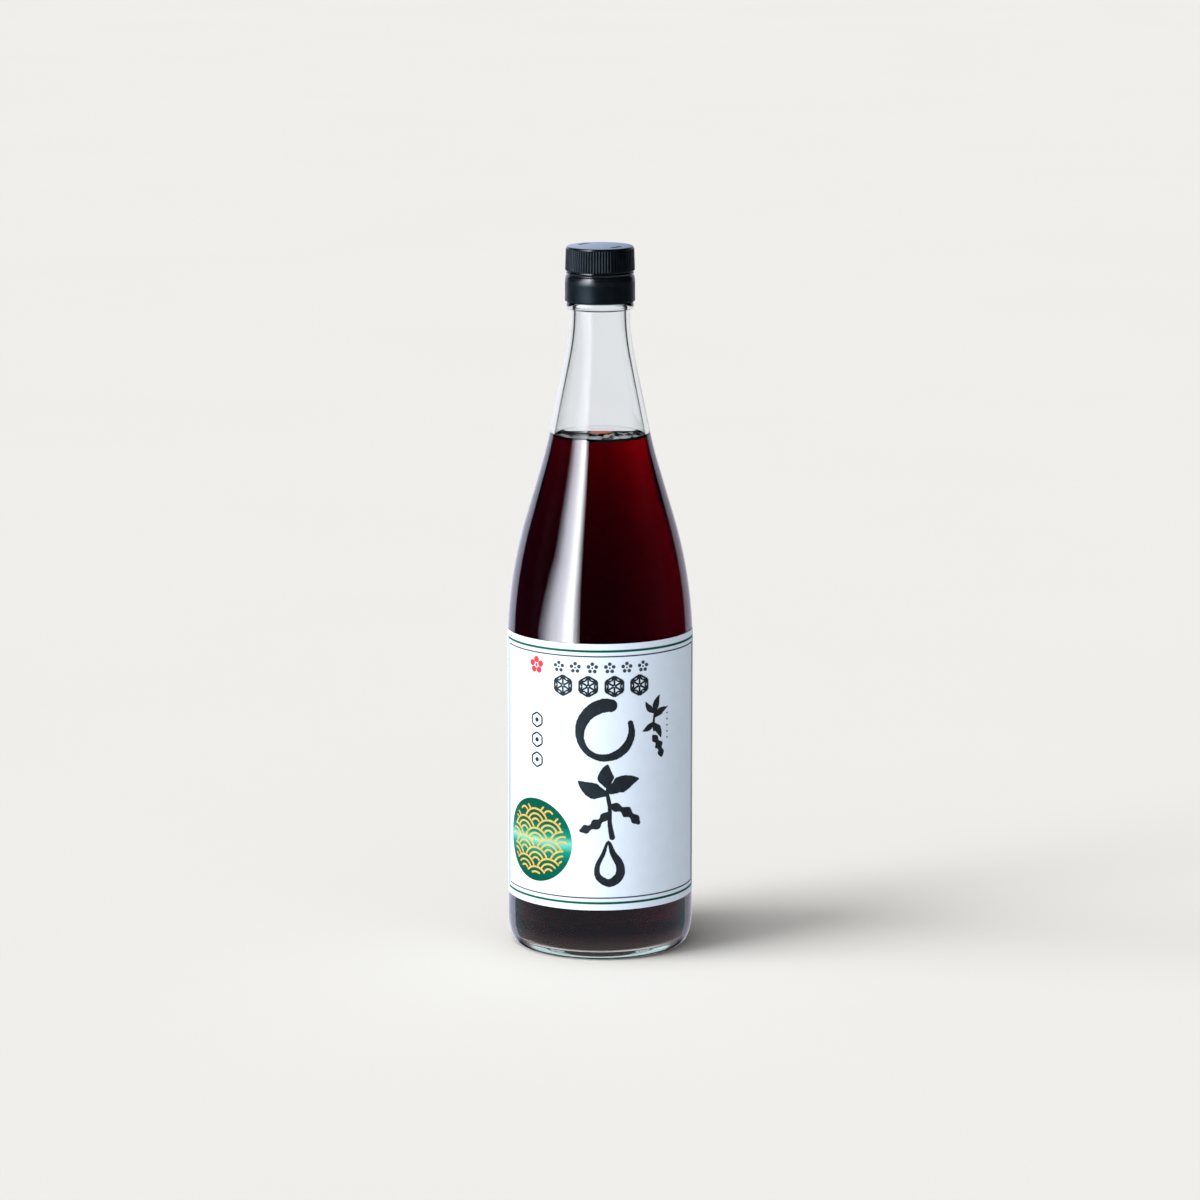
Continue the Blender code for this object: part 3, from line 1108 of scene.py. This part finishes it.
def make_label():
    label = sizes("label")
    left = label.left * LABEL_REACH
    right = label.right * LABEL_REACH
    mesh = bmesh.new()
    columns = 150
    lanes = 24
    heights = [label.bottom + (label.top - label.bottom) * lane / lanes for lane in range(lanes + 1)]
    rows = []
    for column in range(columns + 1):
        across = left + (right - left) * column / columns
        rows.append([(across, height) for height in heights])
    slab(mesh, rows, LABEL_REACH - label.thickness + 0.00004, LABEL_REACH)
    finish_piece("label", mesh, label_paper(), "label")
    colors = sizes("finish")
    mesh = bmesh.new()
    border(mesh, label.rule_inset, label.rule_width, PRINT_BOTTOM, PRINT_TOP)
    finish_piece("green_rule", mesh, printed("green_ink", colors.green_ink))
    mesh = bmesh.new()
    border(mesh, label.hairline_inset, label.hairline_width, PRINT_BOTTOM, PRINT_TOP)
    finish_piece("grey_rule", mesh, printed("grey_ink", colors.grey_ink))


def make_print():
    colors = sizes("finish")
    ink = printed("charcoal_ink", colors.ink, 0.8, 1.3)
    grey = bpy.data.materials["grey_ink"]
    red = printed("red_ink", colors.red_ink)
    drawing("brush_ring", moved(brush_ring(), 2.5, 102.0), ink, rough=0.16)
    drawing("bean_sprig", moved(bean_sprig(), 3.6, 70.6), ink, rough=0.12)
    drawing("brush_drop", moved(drop(), 3.4, 43.6), ink, rough=0.12)
    stars = []
    for column in range(4):
        stars += moved(hemp_star(4.5, 0.8), -16.4 + 11.3 * column, 121.9)
    drawing("star_row", stars, ink)
    small = []
    for column in range(6):
        small += moved(blossom(1.75, 1.6, 0.8), -18.3 + 7.5 * column, 130.0)
    drawing("blossom_row", small, grey)
    shells = []
    for row in range(3):
        shells += moved(hexagon(3.3, 0.8, 2.0), -29.8, 105.2 - 8.8 * row)
    drawing("shell_column", shells, ink)
    spray = [
        leaf(25.2, 108.5, math.radians(74), 8.4, 3.4),
        leaf(25.0, 108.8, math.radians(132), 7.0, 2.9),
        leaf(25.0, 107.0, math.radians(28), 7.8, 3.2),
        leaf(24.6, 104.4, math.radians(-58), 8.0, 3.3),
        leaf(24.6, 104.8, math.radians(214), 6.6, 2.8),
        ([(25.3, 109.4, 1.1), (24.5, 104.0, 1.1), (24.9, 100.6, 1.0)], False),
    ]
    drawing("leaf_spray", spray, ink, rough=0.12)
    drawing("small_pod", [pod(24.0, 99.0, math.radians(-64), 11.4, 4.6)], ink, rough=0.1)
    dots = []
    for row in range(6):
        dots.append(dot(32.2, 110.6 - 2.7 * row, 0.8))
    drawing("dot_column", dots, grey)
    drawing("red_blossom", moved(blossom(2.45, 2.8, 1.4), -30.0, 129.4), red)


def make_foil():
    label = sizes("label")
    mesh = bmesh.new()
    rings = 14
    steps = 96
    rows = []
    for step in range(steps):
        angle = math.tau * step / steps
        row = []
        for ring in range(rings + 1):
            reach = label.disc_radius * (0.02 + 0.98 * ring / rings)
            across = label.disc_across + reach * math.cos(angle)
            row.append((across, label.disc_height + reach * math.sin(angle)))
        rows.append(row)
    slab(mesh, rows, PRINT_BOTTOM, PRINT_TOP, closed=True)
    finish_piece("foil_disc", mesh, foil())
    across = label.disc_across / MM
    height = label.disc_height / MM
    gold = gold_leaf()
    drawing("gold_waves", waves(across, height, label.disc_radius / MM - 2.2), gold, lift=0.00003)


def cap_mesh():
    """The cap turned with its ribs, hollow under its top."""
    cap = sizes("cap")
    samples = 10
    steps = cap.ribs * samples
    fillet = []
    for step in range(5):
        angle = math.pi / 2 * step / 4
        fillet.append((
            cap.top_radius - cap.edge * (1 - math.sin(angle)),
            cap.top - cap.dome - cap.edge * (1 - math.cos(angle)),
            0,
        ))
    side = []
    foot = cap.bottom + 0.0003
    for height in (0.9986, 0.984, 0.965, 0.94, 0.5, 0.07, 0.045, 0.025):
        rise = 1 if 0.03 < height < 0.97 else 0
        z = cap.bottom + (cap.top - cap.dome - cap.edge - cap.bottom) * height
        radius = cap.bottom_radius + (cap.top_radius - cap.bottom_radius) * height
        side.append((radius, z, rise))
    hollow = SPIGOT_RADIUS + 0.0003
    profile = [(0.0, cap.top, 0)]
    for share in (0.2, 0.4, 0.6, 0.8, 0.92):
        profile.append((cap.top_radius * share, cap.top - cap.dome * share**2, 0))
    profile += fillet + side
    profile += [
        (cap.bottom_radius, foot, 0),
        (cap.bottom_radius - 0.0003, cap.bottom, 0),
        (hollow, cap.bottom, 0),
        (hollow, 0.3048, 0),
        (0.0, 0.3048, 0),
    ]
    mesh = bmesh.new()
    gloss = mesh.faces.layers.float.new("gloss")
    rings = []
    for radius, height, rise in profile:
        if radius == 0:
            rings.append([mesh.verts.new((0, 0, height))] * steps)
            continue
        ring = []
        for step in range(steps):
            angle = math.tau * step / steps
            rib = abs(math.cos(angle * cap.ribs / 2)) ** 0.8 * rise * cap.rib_height
            reach = radius + rib
            ring.append(mesh.verts.new((reach * math.sin(angle), -reach * math.cos(angle), height)))
        rings.append(ring)
    for index, (one, two) in enumerate(zip(rings, rings[1:])):
        ribbed = profile[index][2] + profile[index + 1][2] > 0
        for step in range(steps):
            after = (step + 1) % steps
            face = mesh.faces.new(list(dict.fromkeys([one[step], one[after], two[after], two[step]])))
            face[gloss] = 0.16 if ribbed else 0.75
    return mesh


def arrow_cutter(azimuth):
    """The sunk shape of a bent arrow, as an object to cut with."""
    cap = sizes("cap")
    width = 0.0017
    start = azimuth - cap.arrow_sweep / 2
    steps = 10
    outer = []
    inner = []
    for step in range(steps + 1):
        angle = start + cap.arrow_sweep * step / steps
        outer.append((cap.arrow_radius + width / 2, angle))
        inner.append((cap.arrow_radius - width / 2, angle))
    neck = start + cap.arrow_sweep
    head = [
        (cap.arrow_radius + width, neck),
        (cap.arrow_radius, neck + 0.0020 / cap.arrow_radius),
        (cap.arrow_radius - width, neck),
    ]
    mesh = bmesh.new()
    corners = []
    for radius, angle in outer + head + inner[::-1]:
        corner = (radius * math.cos(angle), radius * math.sin(angle), cap.top - ARROW_DEPTH)
        corners.append(mesh.verts.new(corner))
    raised = bmesh.ops.extrude_face_region(mesh, geom=[mesh.faces.new(corners)])["geom"]
    tops = [item for item in raised if isinstance(item, bmesh.types.BMVert)]
    bmesh.ops.translate(mesh, vec=(0, 0, ARROW_DEPTH + 0.0003), verts=tops)
    bmesh.ops.recalc_face_normals(mesh, faces=mesh.faces)
    data = bpy.data.meshes.new("arrow_shape")
    mesh.to_mesh(data)
    mesh.free()
    shape = bpy.data.objects.new("arrow_shape", data)
    bpy.context.scene.collection.objects.link(shape)
    return shape


def sink_arrows(piece):
    """Cuts the two arrows out of the cap's top and leaves plain mesh."""
    shapes = [arrow_cutter(math.radians(-46)), arrow_cutter(math.radians(134))]
    for shape in shapes:
        cut = piece.modifiers.new("Arrow", "BOOLEAN")
        cut.operation = "DIFFERENCE"
        cut.object = shape
    graph = bpy.context.evaluated_depsgraph_get()
    made = bpy.data.meshes.new_from_object(piece.evaluated_get(graph))
    piece.modifiers.clear()
    piece.data = made
    made.shade_smooth()
    made.set_sharp_from_angle(angle=math.radians(35))
    for shape in shapes:
        bpy.data.objects.remove(shape, do_unlink=True)


def rolled_edge(radius, top, depth, drop):
    """A quarter ellipse from a level top down to an upright side."""
    points = []
    for step in range(9):
        angle = math.pi / 2 * step / 8
        points.append((radius - depth * (1 - math.sin(angle)), top - drop * (1 - math.cos(angle))))
    return points


def make_cap():
    cap = sizes("cap")
    plastic = black_plastic()
    piece = finish_piece("screw_cap", cap_mesh(), plastic, "screw_cap")
    sink_arrows(piece)
    bore = NECK_RADIUS + 0.0002
    edge = cap.collar_radius
    foot = cap.collar_bottom - 0.0002
    profile = [
        (SPIGOT_RADIUS, SPIGOT_TOP),
        (SPIGOT_RADIUS, COLLAR_BEAD_TOP),
        (COLLAR_BEAD_RADIUS - 0.0003, COLLAR_BEAD_TOP),
        (COLLAR_BEAD_RADIUS - 0.0001, COLLAR_BEAD_TOP - 0.0001),
        (COLLAR_BEAD_RADIUS, COLLAR_BEAD_TOP - 0.0003),
        (COLLAR_BEAD_RADIUS - 0.0001, COLLAR_BEAD_BOTTOM + 0.0002),
        (COLLAR_GROOVE_RADIUS + 0.0001, COLLAR_BEAD_BOTTOM),
        (COLLAR_GROOVE_RADIUS, COLLAR_BEAD_BOTTOM - 0.0001),
        (COLLAR_GROOVE_RADIUS, COLLAR_SHOULDER + 0.0001),
        (COLLAR_GROOVE_RADIUS + 0.0001, COLLAR_SHOULDER),
        *rolled_edge(edge - 0.0001, COLLAR_SHOULDER, 0.0007, 0.0036),
        (edge - 0.0001, foot + 0.0012),
        (edge, foot + 0.0007),
        (edge - 0.0001, foot + 0.00018),
        (edge - 0.0005, foot),
        (bore, foot),
        (bore, SPIGOT_TOP),
    ]

    def gloss(index):
        """Full on the bead and the top of the shoulder, less and less down to the skirt."""
        down = (COLLAR_SHOULDER - profile[index][1]) / 0.0034
        return 1.0 - 0.84 * min(max(down, 0.0), 1.0) ** 2

    mesh = turned(profile, TURN_STEPS, closed=True, gloss_of=gloss)
    finish_piece("pour_collar", mesh, plastic, "pour_collar", angle=50)


# The stage


# Name, degrees left of the camera, degrees over the floor, strength
LIGHTS = (
    ("main_light", 70, 56, 1.37),
    ("top_light", 80, 80, 0.844),
    ("low_light", 60, 26, 0.694),
    ("side_light", 90, 20, 0.870),
)
# The floor throws no shadow, so this one may come from below it
FRONT_LIGHT = ("front_light", 40, -18, 2.1)
WALL = (0.871, 0.863, 0.831)
DIM_ROOM = (0.010, 0.005, 0.030)
FILL_ABOVE = (0.258, 0.258, 0.255)
FILL_BELOW = (0.84, 0.835, 0.83)
# The floor in reflections: the slope where it starts, the slope where it is whole, and its colour
FLOOR_MIRRORED = (
    (-0.19, -0.23, (0.37, 0.50, 0.58)),
    (-0.30, -0.60, (0.84, 0.60, 0.51)),
)


def floor_finish():
    finish, shader = new_finish("studio_floor", {"Roughness": 0.9, "Specular IOR Level": 0.0})
    color = tuple(sizes("studio").floor)
    cloud = grain(finish, 3.0)
    paint(finish, shader, cloud, [(0.3, shade_of(color, 0.995)), (0.7, shade_of(color, 1.005))])
    return finish


def floor_ring(name, inner, outer, look):
    """A flat ring of floor."""
    mesh = bmesh.new()
    steps = 64
    rings = []
    for radius in (inner, outer):
        ring = []
        for step in range(steps):
            angle = math.tau * step / steps
            ring.append(mesh.verts.new((radius * math.cos(angle), radius * math.sin(angle), 0)))
        rings.append(ring)
    for step in range(steps):
        after = (step + 1) % steps
        mesh.faces.new((rings[0][step], rings[1][step], rings[1][after], rings[0][after]))
    if inner < 0.01:
        mesh.faces.new(rings[0])
    data = bpy.data.meshes.new(name)
    mesh.to_mesh(data)
    mesh.free()
    data.materials.append(look)
    piece = bpy.data.objects.new(name, data)
    bpy.context.scene.collection.objects.link(piece)
    return piece


def math_node(world, operation, first, second=None):
    made = node(world, "ShaderNodeMath", operation=operation)
    for index, value in enumerate((first, second)):
        if isinstance(value, (int, float)):
            made.inputs[index].default_value = value
        elif value is not None:
            link(world, value, made.inputs[index])
    return made.outputs["Value"]


def window(world, source, low, high, soft):
    """1 between low and high and 0 outside, with soft edges."""
    edges = []
    for edge, inside in ((low, soft), (high, -soft)):
        made = node(
            world,
            "ShaderNodeMapRange",
            {"From Min": edge, "From Max": edge + inside},
            interpolation_type="SMOOTHSTEP",
        )
        link(world, source, made.inputs["Value"])
        edges.append(made.outputs["Result"])
    return math_node(world, "MULTIPLY", *edges)


def scaled(world, color, strength):
    """A colour times a strength. Each is an output or a fixed value."""
    scale = node(world, "ShaderNodeVectorMath", operation="SCALE")
    for value, socket in ((color, scale.inputs[0]), (strength, scale.inputs["Scale"])):
        if isinstance(value, (int, float, tuple)):
            socket.default_value = value
        else:
            link(world, value, socket)
    return scale.outputs["Vector"]


def lit_field(world, angle, start, end, stops, strength):
    """A colour for each angle between start and end, in degrees, times a strength."""
    share = share_from(world, angle, math.radians(start), math.radians(end))
    places = [((degrees - start) / (end - start), color) for degrees, color in stops]
    return scaled(world, ramp(world, share, places), strength)


def together(world, one, two):
    made = node(world, "ShaderNodeVectorMath", operation="ADD")
    link(world, one, made.inputs[0])
    link(world, two, made.inputs[1])
    return made.outputs["Vector"]


def grey(value):
    return (value, value, value)


def reflections(world, z, front, rear):
    """What glass and plastic mirror: a softbox to the left, cards behind, and the floor."""
    box_height = math_node(
        world, "MULTIPLY", window(world, z, -0.17, 0.56, 0.03), sizes("studio").box_brightness
    )
    width = node(
        world,
        "ShaderNodeMapRange",
        {"From Min": -0.10, "From Max": 0.20, "To Min": math.radians(-60), "To Max": math.radians(-44)},
    )
    link(world, z, width.inputs["Value"])
    from_end = math_node(world, "SUBTRACT", front, math.radians(-24.3))
    across = math_node(world, "DIVIDE", from_end, width.outputs["Result"])
    shares = [
        (0.0, grey(0)),
        (0.06, (0.16, 0.16, 0.17)),
        (0.13, (0.42, 0.43, 0.45)),
        (0.20, (0.93, 0.95, 0.98)),
        (0.30, (0.93, 0.95, 1.0)),
        (0.45, (0.62, 0.63, 0.69)),
        (0.66, (0.42, 0.43, 0.49)),
        (0.84, (0.14, 0.14, 0.16)),
        (1.0, grey(0)),
    ]
    inside = math_node(world, "GREATER_THAN", across, 0.0)
    box_height = math_node(world, "MULTIPLY", box_height, inside)
    softbox = scaled(world, ramp(world, across, shares), box_height)
    card_height = window(world, z, -0.5, 0.62, 0.12)
    cards = lit_field(
        world,
        rear,
        -62,
        62,
        [
            (-48, grey(0)),
            (-44, (0.80, 0.80, 0.98)),
            (-3, (0.78, 0.80, 1.0)),
            (-1.1, (0.68, 0.78, 1.0)),
            (1.1, (0.28, 0.38, 0.52)),
            (3, (0.50, 0.49, 0.58)),
            (43, (0.44, 0.41, 0.48)),
            (48, grey(0)),
        ],
        math_node(world, "MULTIPLY", card_height, 1.5),
    )
    mirrored = together(world, softbox, cards)
    mirrored = together(world, mirrored, scaled(world, DIM_ROOM, 1.0))
    ahead = window(world, front, math.radians(-150), math.radians(150), math.radians(25))
    for start, end, color in FLOOR_MIRRORED:
        share = math_node(world, "MULTIPLY", share_from(world, z, start, end), ahead)
        mirrored = together(world, mirrored, scaled(world, color, share))
    return mirrored


def view_through_glass(world, z, rear):
    """What shows through glass: the wall with a dark part to each side, and the floor."""
    level = lit_field(
        world,
        math_node(world, "ABSOLUTE", rear),
        20,
        100,
        [(38.5, WALL), (43, grey(0.03)), (76, grey(0.03)), (84, WALL)],
        1.0,
    )
    floor_stops = [
        (-50, grey(0.5)),
        (-44, grey(0.85)),
        (-20, grey(0.78)),
        (-4, grey(0.45)),
        (8, grey(0.42)),
        (22, grey(0.20)),
        (50, grey(0.18)),
    ]
    down = lit_field(world, rear, -60, 60, floor_stops, 2.0)
    fade = node(
        world,
        "ShaderNodeMapRange",
        {"From Min": -0.72, "From Max": -0.84, "To Min": 1, "To Max": 0.15},
    )
    link(world, z, fade.inputs["Value"])
    steep = scaled(world, (0.36, 0.50, 0.50), fade.outputs["Result"])
    down = chosen(world, share_from(world, z, -0.56, -0.62), down, steep)
    return chosen(world, share_from(world, z, -0.19, -0.24), level, down)


def make_room():
    """The room: pale to the eye, its own views in glass and in reflections, and a soft fill."""
    world = bpy.data.worlds.new("studio")
    bpy.context.scene.world = world
    world.use_nodes = True
    world.cycles.sampling_method = "NONE"
    place = node(world, "ShaderNodeTexCoord")
    split = node(world, "ShaderNodeSeparateXYZ")
    link(world, place.outputs["Generated"], split.inputs["Vector"])
    x, y, z = (split.outputs[axis] for axis in "XYZ")
    front = math_node(world, "ARCTAN2", x, math_node(world, "MULTIPLY", y, -1.0))
    rear = math_node(world, "ARCTAN2", x, y)

    rays = node(world, "ShaderNodeLightPath").outputs
    fill = chosen(world, share_from(world, z, -0.01, 0.01), FILL_BELOW, FILL_ABOVE)
    lighting = chosen(world, rays["Is Glossy Ray"], fill, reflections(world, z, front, rear))
    view = chosen(world, rays["Is Camera Ray"], view_through_glass(world, z, rear), WALL)
    seen = math_node(world, "MAXIMUM", rays["Is Camera Ray"], rays["Is Transmission Ray"])
    background = world.node_tree.nodes["Background"]
    link(world, chosen(world, seen, lighting, view), background.inputs["Color"])


def soft_light(name, azimuth, elevation, strength, softness):
    """A wide, even light, so many degrees left of the camera and over the floor."""
    lamp = bpy.data.lights.new(name, "SUN")
    lamp.energy = strength
    lamp.angle = softness
    light = bpy.data.objects.new(name, lamp)
    light.rotation_euler = (math.radians(90 - elevation), 0, math.radians(-azimuth))
    light.visible_glossy = False
    light.visible_transmission = False
    bpy.context.scene.collection.objects.link(light)


def make_stage():
    studio = sizes("studio")
    scene = bpy.context.scene
    look = floor_finish()
    near = floor_ring("floor_near", 0.001, 0.35, look)
    far = floor_ring("floor_far", 0.35, 9.0, look)
    for floor in (near, far):
        floor.visible_diffuse = False
        floor.visible_glossy = False
        floor.visible_transmission = False
        floor.visible_shadow = False
    make_room()

    for light in LIGHTS:
        soft_light(*light, studio.softness)
    soft_light(*FRONT_LIGHT, studio.low_softness)

    optics = bpy.data.cameras.new("camera")
    optics.lens = studio.lens
    optics.sensor_width = 36.0
    optics.clip_end = 100.0
    camera = bpy.data.objects.new("camera", optics)
    reach = studio.distance
    camera.location = (
        0,
        -reach * math.cos(studio.pitch),
        studio.aim_height + reach * math.sin(studio.pitch),
    )
    camera.rotation_euler = (math.pi / 2 - studio.pitch, 0, 0)
    scene.collection.objects.link(camera)
    scene.camera = camera
    scene.view_settings.view_transform = "Standard"


# Operators


class BOTTLE_OT_glass(bpy.types.Operator):
    """Make the glass bottle"""

    bl_idname = "bottle.glass"
    bl_label = "Glass Bottle"

    def execute(self, context):
        make_glass()
        return {"FINISHED"}


class BOTTLE_OT_sauce(bpy.types.Operator):
    """Make the soy sauce and the bubbles at its edge"""

    bl_idname = "bottle.sauce"
    bl_label = "Soy Sauce"

    def execute(self, context):
        make_sauce()
        return {"FINISHED"}


class BOTTLE_OT_label(bpy.types.Operator):
    """Make the paper label and its rules"""

    bl_idname = "bottle.label"
    bl_label = "Label and Rules"

    def execute(self, context):
        make_label()
        return {"FINISHED"}


class BOTTLE_OT_print(bpy.types.Operator):
    """Make the brush drawings and small marks on the label"""

    bl_idname = "bottle.print"
    bl_label = "Brush Drawings"

    def execute(self, context):
        make_print()
        return {"FINISHED"}


class BOTTLE_OT_foil(bpy.types.Operator):
    """Make the green foil disc with its gold waves"""

    bl_idname = "bottle.foil"
    bl_label = "Foil Disc"

    def execute(self, context):
        make_foil()
        return {"FINISHED"}


class BOTTLE_OT_cap(bpy.types.Operator):
    """Make the ribbed cap and the pouring collar"""

    bl_idname = "bottle.cap"
    bl_label = "Cap and Collar"

    def execute(self, context):
        make_cap()
        return {"FINISHED"}


class BOTTLE_OT_stage(bpy.types.Operator):
    """Make the floor, the light and the camera"""

    bl_idname = "bottle.stage"
    bl_label = "Studio"

    def execute(self, context):
        make_stage()
        return {"FINISHED"}


class BOTTLE_PT_panel(bpy.types.Panel):
    """The bottle's pieces, in the order in which they are made"""

    bl_idname = "BOTTLE_PT_panel"
    bl_label = "Soy Sauce Bottle"
    bl_space_type = "VIEW_3D"
    bl_region_type = "UI"
    bl_category = "Bottle"

    def draw(self, context):
        for operator in OPERATORS:
            self.layout.operator(operator.bl_idname)


OPERATORS = (
    BOTTLE_OT_glass,
    BOTTLE_OT_sauce,
    BOTTLE_OT_label,
    BOTTLE_OT_print,
    BOTTLE_OT_foil,
    BOTTLE_OT_cap,
    BOTTLE_OT_stage,
)
GROUPS = {
    "bottle_glass": BottleSizes,
    "bottle_sauce": SauceSizes,
    "bottle_label": LabelSizes,
    "bottle_cap": CapSizes,
    "bottle_finish": Finishes,
    "bottle_studio": StudioSettings,
}


def register():
    for name, group in GROUPS.items():
        bpy.utils.register_class(group)
        setattr(bpy.types.Scene, name, bpy.props.PointerProperty(type=group))
    for operator in OPERATORS:
        bpy.utils.register_class(operator)
    bpy.utils.register_class(BOTTLE_PT_panel)


def unregister():
    bpy.utils.unregister_class(BOTTLE_PT_panel)
    for operator in reversed(OPERATORS):
        bpy.utils.unregister_class(operator)
    for name, group in reversed(GROUPS.items()):
        delattr(bpy.types.Scene, name)
        bpy.utils.unregister_class(group)


def main():
    register()
    bpy.ops.bottle.glass()
    bpy.ops.bottle.sauce()
    bpy.ops.bottle.label()
    bpy.ops.bottle.print()
    bpy.ops.bottle.foil()
    bpy.ops.bottle.cap()
    bpy.ops.bottle.stage()


if __name__ == "__main__":
    main()
